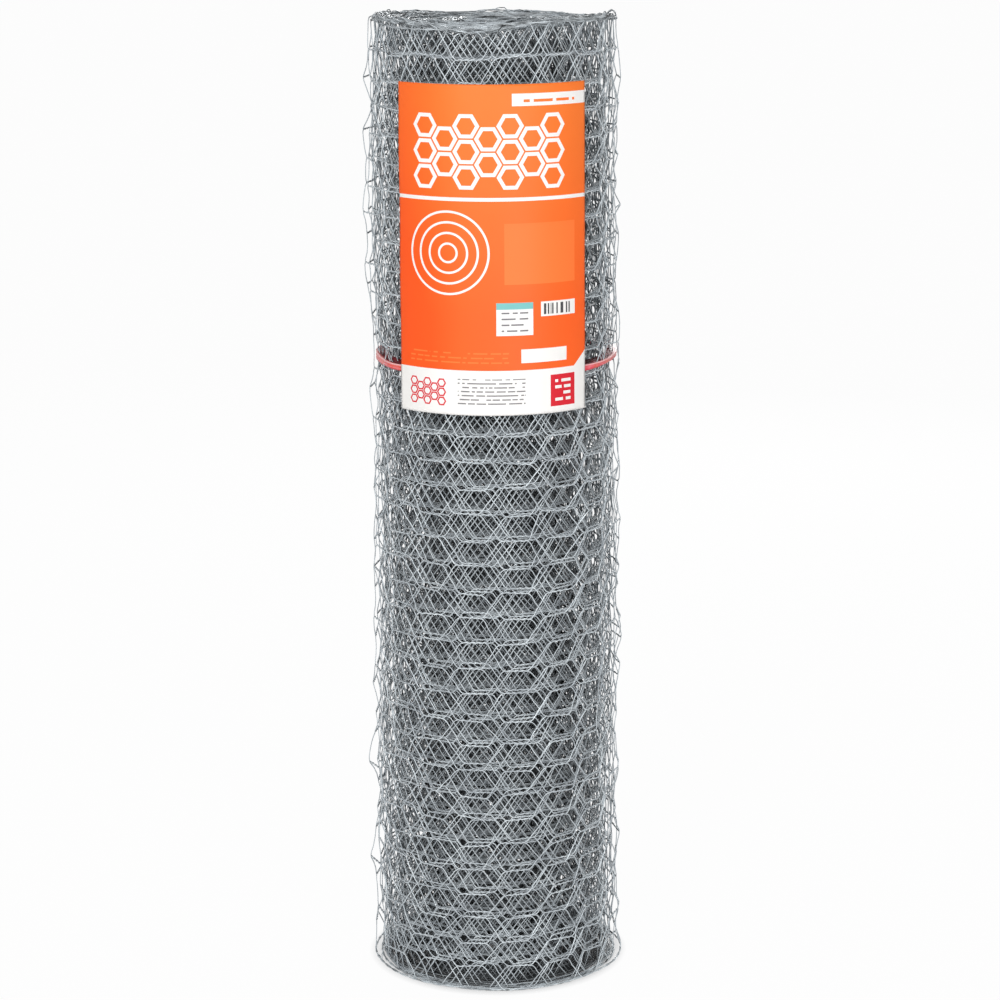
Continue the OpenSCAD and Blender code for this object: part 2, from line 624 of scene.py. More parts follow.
@dataclass
class Netting:
    """The web of twisted wires on its winding.

    Attributes:
        winding: The spiral it lies on.
        rows: Rows of half cells across the web.
        twist_length: Mean length of a twist.
        slope_run: Mean length of web that a sloping stretch spans.
        wire_d: Thickness of the wire.
        wraps: Full turns of one wire round the other in a twist.
        corner: How far a wire runs on past a twist before it bends into its slope.
        bend: Share of a slope over which it does.
        selvage_lay: Length in which the edge strands wind once round each other.
        selvage_reach: Distance of an edge strand from their common middle, in thicknesses of the wire.
        spread: How far the cells of each turn are shifted against those of the next one out, in half cells.
        spread_turns: Outer turns that it holds for.
        jitter: Random offsets of the knots along the web, along the axis and outwards.
        calm: How large they are in the tight turns, as a share.
        tousle: How much larger the last two are at the upper edge.
        ends: Distance from both ends within which knots may not stand out far.
        proud: How far they may stand out there.
        bow: Random bow of a slope.
        seed: Seed of the random offsets and bows.
        turn_of: Turn count at the middle of each twist.
        knots: Both ends of each twist, (rows + 1, twists, 2, 3).
    """

    winding: Winding
    rows: int = 37
    twist_length: float = 38.0 * MM
    slope_run: float = 29.3 * MM
    wire_d: float = 1.65 * MM
    wraps: int = 2
    corner: float = 1.7 * MM
    bend: float = 0.3
    selvage_lay: float = 46.0 * MM
    selvage_reach: float = 0.55
    spread: float = 1.072
    spread_turns: int = 30
    jitter: tuple[float, float, float] = (2.0 * MM, 1.6 * MM, 2.4 * MM)
    calm: float = 0.45
    tousle: float = 2.4
    ends: float = 30 * MM
    proud: float = 1.0 * MM
    bow: float = 1.5 * MM
    seed: int = 5
    turn_of: np.ndarray = field(init=False)
    knots: np.ndarray = field(init=False)

    @property
    def half_period(self) -> float:
        """Mean length of web from one twist to the next."""
        return self.twist_length + self.slope_run

    def __post_init__(self) -> None:
        """Lay out the length of the web on the spiral, and place every knot.

        The twists lie half_period apart. Over each of the outer turns the web is drawn out or in by up to
        half a cell, twists and slopes alike, until at the front every turn is shifted by spread against the
        last: by half a cell and a little more, so that the slopes of every other turn lie side by side.
        """
        wind = self.winding
        turn = np.linspace(0.0, wind.turns, 20001)
        radius = wind.base_radius(turn)
        run = np.concatenate([[0.0], np.cumsum(0.5 * (radius[1:] + radius[:-1]) * TAU * np.diff(turn))])
        self._turns, self._run = turn, run
        cells = (run[-1] - run) / self.half_period
        layers = np.arange(self.spread_turns)
        facing = wind.turns - (wind.end_angle - FRONT) / TAU - layers
        natural = np.interp(facing, turn, cells)
        shift = np.unwrap(self.spread * layers - (natural - natural[0]), period=2.0)
        cells = cells + np.interp(turn, facing[::-1], shift[::-1])
        first = self.twist_length / self.half_period
        wanted = np.arange(int(cells[0] - first), 0, -1) - 1.0 + first
        self.turn_of = np.interp(-wanted, -cells, turn)
        self.knots = self._place_knots(np.interp(self.turn_of, turn, run))

    @property
    def sole(self) -> float:
        """Height of the lowest row of twists, which clears the floor."""
        return 1.1 * self.wire_d

    def row_z(self, row: np.ndarray) -> np.ndarray:
        """Height of a row of twists, with the lowest and the highest just inside the roll's ends."""
        return self.sole + (self.winding.outline.height - 2.0 * self.sole) * row / self.rows

    def _place_knots(self, centres: np.ndarray) -> np.ndarray:
        """Place both ends of each twist.

        A knot is at run = centre -/+ half a twist on the spiral, at its row's height, each with the slide of
        its turn and a random offset that is smaller in the tight turns. Under the card that only points in.

        Args:
            centres: Length of web to each twist's middle.

        Returns:
            Points, (rows + 1, twists, 2, 3).
        """
        draw = np.random.default_rng(self.seed)
        shape = (self.rows + 1, len(centres), 2)
        noise = draw.normal(size=(3, *shape)).clip(-2.2, 2.2)
        common = draw.normal(size=(2, *shape[:2], 1)).clip(-2.0, 2.0)
        length = self.twist_length * np.gradient(centres) / self.half_period
        wind, height = self.winding, self.winding.outline.height
        run = centres[None, :, None] + np.array([-0.5, 0.5]) * length[None, :, None]
        turn = np.interp(run, self._run, self._turns)
        loose = between(self.calm, 1.0, wind.looseness_at(turn))
        along = self.jitter[0] * loose * (0.5 * noise[0] + 0.8 * common[0])
        turn = np.interp(run + along, self._run, self._turns)
        row = np.arange(self.rows + 1)[:, None, None]
        z = self.row_z(row) + 0.0 * turn
        angle = wind.angle(turn)
        flat = wind.card.cover(angle, z)
        wild = smooth_step(turn, wind.turns - 2.5, wind.turns - 0.8)
        loose = loose * between(1.0, self.tousle, smooth_step(z, height - 35 * MM, height - 5 * MM))
        out = self.jitter[2] * loose * (1.0 + 0.7 * wild) * noise[2]
        out = np.where(flat > 0.2, 0.4 * np.minimum(out, 0.0), out)
        out = np.where((z > height - self.ends) | (z < self.ends), np.minimum(out, self.proud), out)
        radius = wind.radius(turn, z) + out
        z = z + wind.rise(turn, z) + self.jitter[1] * loose * (0.45 * noise[1] + 0.8 * common[1])
        return cylindrical(radius, angle, np.maximum(z, self.sole))

    def cut_at(self, turn: float) -> int:
        """Number of the first twist at or past a turn count."""
        return int(np.searchsorted(self.turn_of, turn))

    def wire_paths(self, first: int, last: int, facets: Facets) -> tuple[np.ndarray, np.ndarray]:
        """Middle lines of all wires from one twist to another.

        A wire touches the row below it at twists of one parity and the row above it at the others. In a
        twist it follows chord + r (cos a outward + sin a up), where a makes whole turns and starts on the
        wire's own side, and r is the wire's radius. Between two twists it runs straight, with a slight bow,
        and with a rounded corner at both ends: corner 27/4 c (1 - c)^2 along the twist, where c is the share
        of the slope over the bend's.

        Args:
            first: Number of the first twist.
            last: Number of the twist at whose start the paths end, or the count of twists for the free end.
            facets: Fineness.

        Returns:
            Points, (wires, points, 3), and max(0, -cos a) for each: how far it lies on a twist's inner side.
        """
        total = self.knots.shape[1]
        at_end = last >= total
        steps = np.arange(first, min(last + 1, total))
        wire = np.arange(self.rows)[:, None]
        upper = (steps[None, :] - wire) % 2 == 1
        row = wire + upper
        start = self.knots[row, steps[None, :], 0]
        end = self.knots[row, steps[None, :], 1]
        u = np.linspace(0.0, 1.0, facets.twist_steps + 1)[:, None]
        chord = start[:, :, None, :] * (1.0 - u) + end[:, :, None, :] * u
        own_side = np.where(upper, -0.5 * math.pi, 0.5 * math.pi)[:, :, None]
        sense = np.where(steps % 2 == 0, 1.0, -1.0)[None, :, None]
        turned = (own_side + sense * TAU * self.wraps * u[None, None, :, 0])[..., None]
        inner = np.maximum(-np.cos(turned), 0.0)
        twist = chord + 0.5 * self.wire_d * (np.cos(turned) * outward(chord) + np.sin(turned) * UP)
        if facets.slope_stops:
            share = np.array(facets.slope_stops)[:, None]
            here, there = twist[:, :-1, -1:, :], twist[:, 1:, :1, :]
            slope = here * (1.0 - share) + there * share
            draw = np.random.default_rng(self.seed + first)
            bow = draw.normal(size=(*slope.shape[:2], 1, 1)).clip(-2, 2) * self.bow
            slope = slope + bow * np.sin(math.pi * share) * outward(slope)
            near, far = (np.clip(side / self.bend, 0.0, 1.0) for side in (share, 1.0 - share))
            near, far = (27.0 / 4.0 * self.corner * c * (1.0 - c) ** 2 for c in (near, far))
            ahead = unit(end - start)[:, :, None, :]
            slope = slope + near * ahead[:, :-1] - far * ahead[:, 1:]
            body = np.concatenate([twist[:, :-1], slope], axis=2)
            inner_body = np.concatenate([inner[:, :-1], 0.0 * slope[..., :1]], axis=2)
        else:
            body, inner_body = twist[:, :-1], inner[:, :-1]
        left = None if at_end else 1
        paths = np.concatenate([body.reshape(self.rows, -1, 3), twist[:, -1, :left]], axis=1)
        sides = np.concatenate([inner_body.reshape(self.rows, -1, 1), inner[:, -1, :left]], axis=1)
        return paths, sides[..., 0]

    def edge_paths(self, first: int, last: int, step: float) -> tuple[np.ndarray, np.ndarray]:
        """Middle lines of the two strands that edge the web, at its foot and at its top.

        A strand winds round the edge row's smooth spiral: spiral + reach (cos a outward + sin a up), with a
        growing steadily along the web.

        Args:
            first: Number of the first twist.
            last: Number of the last twist.
            step: Length of web between two points.

        Returns:
            Points, (strands, points, 3), and how far each lies on the inner side, from 0 to 1.
        """
        last = min(last, self.knots.shape[1] - 1)
        knot_run = np.interp(self.turn_of, self._turns, self._run)
        begin, end = knot_run[first], knot_run[last]
        run = np.linspace(begin, end, max(3, int((end - begin) / step)))
        angle = self.winding.angle(np.interp(run, self._run, self._turns))
        reach = self.selvage_reach * self.wire_d
        strands, inner = [], []
        for row, sense in ((0, 1.0), (self.rows, -1.0)):
            middle = self.knots[row].mean(axis=1)
            z = np.interp(run, knot_run, middle[:, 2])
            radius = np.interp(run, knot_run, np.hypot(middle[:, 0], middle[:, 1])) + 0.5 * self.wire_d
            for side in (0.0, math.pi):
                a = sense * TAU * run / self.selvage_lay + side
                strands.append(cylindrical(radius + reach * np.cos(a), angle, z + reach * np.sin(a)))
                inner.append(np.maximum(-np.cos(a), 0.0))
        return np.stack(strands), np.stack(inner)


@dataclass(frozen=True)
class Value:
    """A number, a vector, a colour or a surface that nodes work out, with the usual arithmetic.

    Attributes:
        shades: The nodes that it belongs to.
        socket: Where it comes out.
    """

    shades: Shades
    socket: bpy.types.NodeSocket

    def then(self, operation: str, *others: object) -> Value:
        """One more step of arithmetic, with numbers or values."""
        return self.shades.value("ShaderNodeMath", 0, dict(enumerate((self, *others))), operation=operation)

    __add__ = partialmethod(then, "ADD")
    __sub__ = partialmethod(then, "SUBTRACT")
    __mul__ = partialmethod(then, "MULTIPLY")
    __truediv__ = partialmethod(then, "DIVIDE")
    __abs__ = partialmethod(then, "ABSOLUTE")
    __lt__ = partialmethod(then, "LESS_THAN")
    __gt__ = partialmethod(then, "GREATER_THAN")

    def graded(self, low: float, high: float, to_low: float = 0.0, to_high: float = 1.0) -> Value:
        """Carry it from one range to another, held at its ends."""
        inputs = {"Value": self, "From Min": low, "From Max": high, "To Min": to_low, "To Max": to_high}
        return self.shades.value("ShaderNodeMapRange", "Result", inputs)

    def bump(self, distance: float, strength: float) -> Value:
        """Normal bent by it as a height, in metres."""
        inputs = {"Height": self, "Distance": distance, "Strength": strength}
        return self.shades.value("ShaderNodeBump", "Normal", inputs)

    def split(self) -> tuple[Value, Value]:
        """Its x and y parts."""
        made = self.shades.node("ShaderNodeSeparateXYZ", {"Vector": self})
        return Value(self.shades, made.outputs["X"]), Value(self.shades, made.outputs["Y"])


@dataclass(frozen=True)
class Shades:
    """Short way to lay out the nodes of a material or of the sky."""

    tree: bpy.types.NodeTree

    def put(self, socket: bpy.types.NodeSocket, value: object) -> None:
        """Link an input if the value is worked out by nodes, and set it otherwise."""
        if isinstance(value, Value):
            self.tree.links.new(value.socket, socket)
        else:
            socket.default_value = value

    def node(self, kind: str, inputs: Inputs, **settings: object) -> bpy.types.Node:
        """Add a node, and set its properties and its inputs."""
        made = self.tree.nodes.new(kind)
        for key, setting in settings.items():
            setattr(made, key, setting)
        for key, value in inputs.items():
            self.put(made.inputs[key], value)
        return made

    def value(self, kind: str, output: str | int, inputs: Inputs, **settings: object) -> Value:
        """Add a node and take one of its outputs."""
        return Value(self, self.node(kind, inputs, **settings).outputs[output])

    def place(self) -> Value:
        """Where a point lies on the object."""
        return self.value("ShaderNodeTexCoord", "Object", {})

    def flat_map(self, name: str) -> Value:
        """Where a point lies on a UV map."""
        return self.value("ShaderNodeUVMap", "UV", {}, uv_map=name)

    def mix(self, share: Value, first: Colour | Value, second: Colour | Value) -> Value:
        """Colour between two others."""
        inputs = {"Factor": share, "A": first, "B": second}
        return self.value("ShaderNodeMix", "Result", inputs, data_type="RGBA")

    def noise(self, place: Value, scale: float, detail: float = 2.0) -> Value:
        """Noise from 0 to 1."""
        return self.value("ShaderNodeTexNoise", "Fac", {"Vector": place, "Scale": scale, "Detail": detail})

    def stretches(self, x: Value, y: Value | float, least: float) -> Value:
        """1 in random stretches about 1 long in x, which differ for each y, where noise is over least."""
        spot = self.value("ShaderNodeCombineXYZ", "Vector", {"X": x, "Y": y})
        return self.noise(spot, 1.0, 0.0) > least

    def seen(self) -> Value:
        """1 where the camera, a reflection or a clear piece sees the surface, and 0 where it gives light."""
        path = self.node("ShaderNodeLightPath", {}).outputs
        either = Value(self, path["Is Camera Ray"]).then("MAXIMUM", Value(self, path["Is Glossy Ray"]))
        return either.then("MAXIMUM", Value(self, path["Is Transmission Ray"]))

    def blend(self, share: Value, first: Value, second: Value, target: str) -> None:
        """Send a surface between two others to the output node of the kind target."""
        blended = self.value("ShaderNodeMixShader", 0, {0: share, 1: first, 2: second})
        self.node(target, {"Surface": blended})


def linear(red: int, green: int, blue: int) -> Colour:
    """Screen colour, 0 to 255, as the linear colour that shaders take."""
    parts = [c / 255.0 for c in (red, green, blue)]
    r, g, b = (p / 12.92 if p <= 0.04045 else ((p + 0.055) / 1.055) ** 2.4 for p in parts)
    return (r, g, b, 1.0)


class Finish:
    """A material with a Principled surface, laid out by its subclass."""

    name: str = "finish"

    def make(self) -> bpy.types.Material:
        """Make the material."""
        material = bpy.data.materials.new(self.name)
        material.use_nodes = True
        shades = Shades(material.node_tree)
        surface = material.node_tree.nodes["Principled BSDF"]
        for socket, value in self.surface(shades).items():
            shades.put(surface.inputs[socket], value)
        return material

    def surface(self, shades: Shades) -> Inputs:
        """What goes into the surface's sockets, by their names."""
        raise NotImplementedError


@dataclass(frozen=True)
class ZincWire(Finish):
    """Galvanised wire: grey zinc with duller patches and a fine grain, with shade painted where netting
    shelters it.

    Attributes:
        bright: Colour of fresh zinc.
        dull: Colour of weathered zinc.
        dark: Colour of the painted shade on sheltered wire.
        worn: The noise from which zinc begins to be dull, and at which it is fully so.
    """

    name: str = "zinc_wire"
    bright: Colour = (0.73, 0.79, 0.82, 1.0)
    dull: Colour = (0.42, 0.46, 0.495, 1.0)
    dark: Colour = linear(14, 15, 17)
    worn: tuple[float, float] = (0.34, 0.66)

    def surface(self, shades: Shades) -> Inputs:
        """Mix the two tones by patches and grain, and paint shade on them by the attribute named light."""
        grain = shades.noise(shades.place(), 420.0)
        patches = shades.noise(shades.place(), 26.0, 3.0)
        mottled = patches * 0.65 + grain * 0.35
        light = shades.value("ShaderNodeAttribute", "Fac", {}, attribute_name="light")
        zinc = shades.mix(mottled.graded(*self.worn), self.bright, self.dull)
        return {
            # Painted shade: the zinc is mixed towards dark where the light attribute is low.
            "Base Color": shades.mix(light, self.dark, zinc),
            "Roughness": mottled.graded(*self.worn, 0.32, 0.55),
            "Metallic": mottled.graded(*self.worn, 0.3, 0.1),
            "Specular IOR Level": light.graded(0.0, 0.25, 0.1, 0.5),
            "Normal": grain.bump(0.06 * MM, 0.5),
        }


@dataclass(frozen=True)
class TieFilm(Finish):
    """Creased red plastic film, paler on its stretched folds, partly painted sheen; deep red painted shade
    inside the roll.

    Attributes:
        fold_highlight: Way up the film to its palest line, a painted highlight along the crest of the fold.
        flap: Way up the film to where it begins to lean in behind the fold.
        sides: Distance from the middle plane beyond which the film is paler by painted light, and where it is
            fully so.
    """

    name: str = "tie_film"
    fold_highlight: float = 9.8 * MM
    flap: float = 11.1 * MM
    sides: tuple[float, float] = (0.155, 0.182)

    def surface(self, shades: Shades) -> Inputs:
        """Mix red and pale pink, partly painted sheen, by creases round the roll, with an orange tinge here
        and there.

        The map's v is the way from the film's lower edge up over the fold, and on inwards along the flap.
        """
        film = shades.flat_map("film")
        drawn = shades.value("ShaderNodeMapping", "Vector", {"Vector": film, "Scale": (14.0, 420.0, 1.0)})
        creases = shades.noise(drawn, 1.0, 4.0)
        blotches = shades.noise(film, 70.0)
        worn = creases * 0.6 + blotches * 0.4
        tinge = shades.noise(film, 26.0, 1.0).graded(0.48, 0.62, 0.0, 0.75)
        red = shades.mix(tinge, linear(236, 44, 68), linear(238, 98, 58))
        # Painted sheen: pale pink where the crease noise is high, partly the paler stretched film.
        fold = shades.mix(worn.graded(0.42, 0.66), red, linear(255, 142, 152))
        # Painted light: paler towards both sides of the roll, at -X and +X.
        beside = abs(shades.place().split()[0]).graded(*self.sides, 0.0, 0.5)
        pale = shades.mix(beside, fold, linear(244, 160, 150))
        way = film.split()[1]
        # Painted highlight: a pale line along the crest of the fold.
        fold_highlight = abs(way - self.fold_highlight).graded(0.5 * MM, 1.5 * MM, 0.85, 0.0)
        highlighted = shades.mix(fold_highlight, pale, linear(255, 206, 206))
        under = shades.mix(way.graded(0.6 * MM, 2.4 * MM, 0.8, 0.0), highlighted, linear(176, 34, 60))
        # Painted shade: the flap behind the fold is deep red, as shade inside the roll.
        inside = way.graded(self.flap, self.flap + 0.6 * MM)
        deep = shades.mix(blotches.graded(0.4, 0.65), linear(80, 20, 24), linear(150, 32, 44))
        return {
            "Base Color": shades.mix(inside, under, deep),
            "Roughness": worn.graded(0.3, 0.7, 0.25, 0.45),
            "Specular IOR Level": inside.graded(0.0, 1.0, 0.3, 0.08),
            "Normal": creases.bump(0.8 * MM, 0.6),
        }


@dataclass(frozen=True)
class CardBack(Finish):
    """Unprinted back of the card: grey board with fibres."""

    name: str = "card_back"

    def surface(self, shades: Shades) -> Inputs:
        """Mix two greys by fibre noise."""
        fibres = shades.noise(shades.place(), 900.0, 3.0)
        return {
            "Base Color": shades.mix(fibres, linear(214, 210, 202), linear(232, 229, 222)),
            "Roughness": 0.8,
            "Normal": fibres.bump(0.1 * MM, 0.4),
        }


@dataclass(frozen=True)
class Patch:
    """A printed rectangle.

    Attributes:
        left, right, foot, top: Its edges on the card.
        ink: Its colour.
    """

    left: float
    right: float
    foot: float
    top: float
    ink: Colour

    def mask(self, x: Value, y: Value) -> Value:
        """1 inside the rectangle: both half-widths exceed the distance from its middle lines."""
        wide = abs(x - 0.5 * (self.left + self.right)) < 0.5 * (self.right - self.left)
        high = abs(y - 0.5 * (self.foot + self.top)) < 0.5 * (self.top - self.foot)
        return wide * high


@dataclass(frozen=True)
class Rules(Patch):
    """Rows of ruled lines inside a rectangle, each broken into dashes of uneven length.

    Attributes:
        pitch: Distance between two rows.
        weight: Thickness of a row.
        dash: Typical length of a dash.
        gaps: How much of a row is left out, as a level of noise.
        spread: How far apart the rows lie in the noise.
    """

    pitch: float = 5 * MM
    weight: float = 2 * MM
    dash: float = 9 * MM
    gaps: float = 0.42
    spread: float = 7.3

    def mask(self, x: Value, y: Value) -> Value:
        """The rectangle, where y within its row is under the weight and the dash noise is high."""
        row = (y - self.foot) / self.pitch
        line = row.then("FRACT") < self.weight / self.pitch
        dashes = x.shades.stretches(x / self.dash, row.then("FLOOR") * self.spread, self.gaps)
        return Patch.mask(self, x, y) * line * dashes


@dataclass(frozen=True)
class Bars(Patch):
    """Upright bars of uneven width inside a rectangle.

    Attributes:
        pitch: Typical distance between two bars.
    """

    pitch: float = 2.4 * MM

    def mask(self, x: Value, y: Value) -> Value:
        """The rectangle, where noise along x is high."""
        return Patch.mask(self, x, y) * x.shades.stretches(x / self.pitch, 0.0, 0.5)


@dataclass(frozen=True)
class Rings:
    """Rings about one middle, like the end of a roll.

    Attributes:
        x, y: The middle on the card.
        inner, outer: Radii of the smallest and the largest ring.
        count: Number of rings, at least two.
        weight: Thickness of a ring.
        ink: Colour.
    """

    x: float
    y: float
    inner: float
    outer: float
    count: int
    weight: float
    ink: Colour

    def mask(self, x: Value, y: Value) -> Value:
        """Between the radii, where the distance from the middle lies within half a weight of a ring."""
        aside, up = x - self.x, y - self.y
        far = (aside * aside + up * up).then("SQRT")
        gap = (self.outer - self.inner) / (self.count - 1)
        area = abs(far - 0.5 * (self.inner + self.outer)) < 0.5 * (self.outer - self.inner + self.weight)
        step = ((far - (self.inner - 0.5 * gap)) / gap).then("FRACT")
        return area * (abs(step - 0.5) < 0.5 * self.weight / gap)


@dataclass(frozen=True)
class Strip:
    """A strip along the card's foot, which rises at 45 degrees in its right corner.

    Attributes:
        width: Width of the card.
        top: Upper edge of the strip.
        corner: Width of the corner.
        ink: Its colour.
    """

    width: float
    top: float
    corner: float
    ink: Colour

    def mask(self, x: Value, y: Value) -> Value:
        """1 where y is under the upper edge, which is top + max(0, x - where the corner begins)."""
        rise = (x - (self.width - self.corner)).then("MAXIMUM", 0.0)
        return (y - rise) < self.top


@dataclass(frozen=True)
class Cells:
    """Whole outlined hexagons side by side, like netting.

    Attributes:
        left, foot: Lower left corner of the area that they fill.
        columns, rows: How many stand side by side and above each other. The ones between are one fewer
            each way.
        size: Distance between the middles of two neighbours.
        weight: Thickness of the outline.
        gap: Space between two outlines.
        ink: Colour.
    """

    left: float
    foot: float
    columns: int
    rows: int
    size: float
    weight: float
    gap: float
    ink: Colour

    def mask(self, x: Value, y: Value) -> Value:
        """1 where the hexagonal distance from a cell's middle is between its outline's inner and outer size.

        The middles form two rectangular lattices of 1 by sqrt(3) sizes, half a step apart. The distance is
        the larger of |y| and |y|/2 + sqrt(3)/2 |x| from a middle.
        """
        root = math.sqrt(3.0)
        outer = 0.5 * (self.size - self.gap)
        upright = (y, self.foot, self.size, self.rows)
        sideways = (x, self.left, root * self.size, self.columns)
        found = []
        for lattice in (0, 1):
            parts, areas = [], []
            for value, low, period, count in (upright, sideways):
                step = (value - low) / period + 0.5 * lattice
                areas.append(abs(step - 0.5 * (count + lattice)) < 0.5 * (count - lattice))
                parts.append(abs(step.then("FRACT") - 0.5) * period)
            far = parts[0].then("MAXIMUM", parts[0] * 0.5 + parts[1] * (0.5 * root))
            ring = abs(far - (outer - 0.5 * self.weight)) < 0.5 * self.weight
            found.append(ring * areas[0] * areas[1])
        return found[0].then("MAXIMUM", found[1])


WHITE = linear(244, 242, 239)
ORANGE = linear(247, 122, 43)
DEEP_ORANGE = linear(252, 88, 20)
PALE_ORANGE = linear(255, 122, 52)
RED = linear(214, 30, 46)
GREY = linear(120, 118, 120)
INK = linear(64, 62, 66)
TEAL = linear(120, 190, 190)


@dataclass(frozen=True)
class CardPrint(Finish):
    """Printed front of the card: an orange ground over a white strip, with plain generic motifs.

    Attributes:
        width: Width of the card.
        height: Height of the card.
    """

    width: float
    height: float
    name: str = "card_print"

    def motifs(self) -> list[Patch | Strip | Rings | Cells]:
        """The printed shapes, from the lowest to the uppermost, placed by shares of the card's size."""
        w, h = self.width, self.height

        def area(left: float, right: float, foot: float, top: float) -> tuple[float, float, float, float]:
            """Edges in metres."""
            return left * w, right * w, foot * h, top * h

        def rules(edges: tuple[float, float, float, float], ink: Colour, *sizes: float) -> Rules:
            """Ruled lines with the pitch, the weight and the dash in millimetres."""
            return Rules(*edges, ink, *(size * MM for size in sizes))

        return [
            Strip(w, 0.138 * h, 23 * MM, WHITE),
            Patch(*area(0.60, 1.0, 0.935, 0.972), WHITE),
            rules(area(0.64, 0.93, 0.946, 0.964), PALE_ORANGE, 9.0, 4.2, 13.0),
            Cells(0.06 * w, 0.685 * h, 4, 3, 38 * MM, 5.6 * MM, 2.4 * MM, WHITE),
            Patch(*area(0.0, 1.0, 0.652, 0.663), WHITE),
            Patch(*area(0.56, 0.93, 0.40, 0.585), PALE_ORANGE),
            Rings(0.285 * w, 0.495 * h, 14 * MM, 62 * MM, 4, 3.4 * MM, WHITE),
            Patch(*area(0.74, 0.93, 0.30, 0.345), WHITE),
            Bars(*area(0.755, 0.915, 0.306, 0.339), INK),
            Patch(*area(0.52, 0.70, 0.245, 0.345), WHITE),
            Patch(*area(0.52, 0.70, 0.325, 0.345), TEAL),
            rules(area(0.545, 0.675, 0.257, 0.316), GREY, 9.0, 2.4, 9.0),
            Patch(*area(0.64, 0.88, 0.160, 0.202), WHITE),
            rules(area(0.07, 0.58, 0.160, 0.195), PALE_ORANGE, 7.0, 2.2, 7.0),
            rules(area(0.33, 0.66, 0.034, 0.112), GREY, 6.2, 2.0, 6.0),
            Patch(*area(0.79, 0.93, 0.020, 0.118), RED),
            rules(area(0.815, 0.905, 0.036, 0.106), WHITE, 9.5, 4.6, 11.0),
            Cells(0.05 * w, 0.026 * h, 3, 3, 14 * MM, 2.2 * MM, 0.8 * MM, RED),
        ]

    def surface(self, shades: Shades) -> Inputs:
        """Grade the ground from warm to deep towards the foot and the left edge, then print each motif."""
        across, up = shades.flat_map("card").split()
        depth = up.graded(0.95, 0.3, 0.0, 0.75) + across.graded(0.35, 0.0, 0.0, 0.55)
        colour = shades.mix(depth.then("MINIMUM", 1.0), ORANGE, DEEP_ORANGE)
        x, y = across * self.width, up * self.height
        for motif in self.motifs():
            colour = shades.mix(motif.mask(x, y), colour, motif.ink)
        fibres = shades.noise(shades.place(), 1400.0)
        return {
            "Base Color": colour,
            "Roughness": fibres.graded(0.3, 0.7, 0.48, 0.58),
            "Specular IOR Level": 0.35,
            "Normal": fibres.bump(0.03 * MM, 0.3),
        }


@dataclass
class MeshRoll:
    """The netting, split by turns into pieces of a fair size.

    Attributes:
        netting: The web.
        cuts: Turn counts where one piece ends and the next begins, with the fineness of what follows.
        crevice_shade: How much darker a twist's inner side is painted, as shade that falls in its crevice.
        edge_crevice_shade: The part of that painted shade that an edge strand's inner side gets.
    """

    netting: Netting
    cuts: tuple[tuple[float, Detail], ...] = (
        (0.0, Detail.CORE), (36.0, Detail.CORE), (43.0, Detail.MIDDLE), (46.0, Detail.MIDDLE),
        (49.0, Detail.OUTER), (50.0, Detail.OUTER), (51.0, Detail.OUTER))
    crevice_shade: float = 0.88
    edge_crevice_shade: float = 0.4

    def build(self) -> list[bpy.types.Object]:
        """Make one piece for each range of turns, with its wires and its edge strands."""
        web = self.netting
        shelter = Shelter(web.winding)
        pieces = []
        bounds = [web.cut_at(turn) for turn, _ in self.cuts] + [web.knots.shape[1]]
        for (turn, detail), first, last in zip(self.cuts, bounds[:-1], bounds[1:]):
            facets = detail.value
            wires, inner = web.wire_paths(first, last, facets)
            edges, edge_inner = web.edge_paths(first, last, facets.edge_step)
            points, faces = wire_skin(wires, 0.5 * web.wire_d, facets.sides)
            more, more_faces = wire_skin(edges, 0.5 * web.wire_d, facets.sides)
            faces += [corners + len(points) for corners in more_faces]
            points = np.concatenate([points, more])
            # Painted shade: darker on the inner side of each twist and edge strand, on top of the shelter's
            # painted darkening.
            hidden = np.concatenate([inner.ravel(), self.edge_crevice_shade * edge_inner.ravel()])
            light = shelter(points) * (1.0 - self.crevice_shade * np.repeat(hidden, facets.sides))
            piece = make_piece(f"netting_from_turn_{int(turn) + 1:02d}", points, faces)
            set_values(piece, "light", light)
            log.info("%s: %d faces", piece.name, len(piece.data.polygons))
            pieces.append(piece)
        return pieces

    def dress(self, pieces: list[bpy.types.Object]) -> None:
        """Give every piece the zinc finish."""
        zinc = ZincWire().make()
        for piece in pieces:
            piece.data.materials.append(zinc)
            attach(piece, "root")
            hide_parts("mesh_roll")


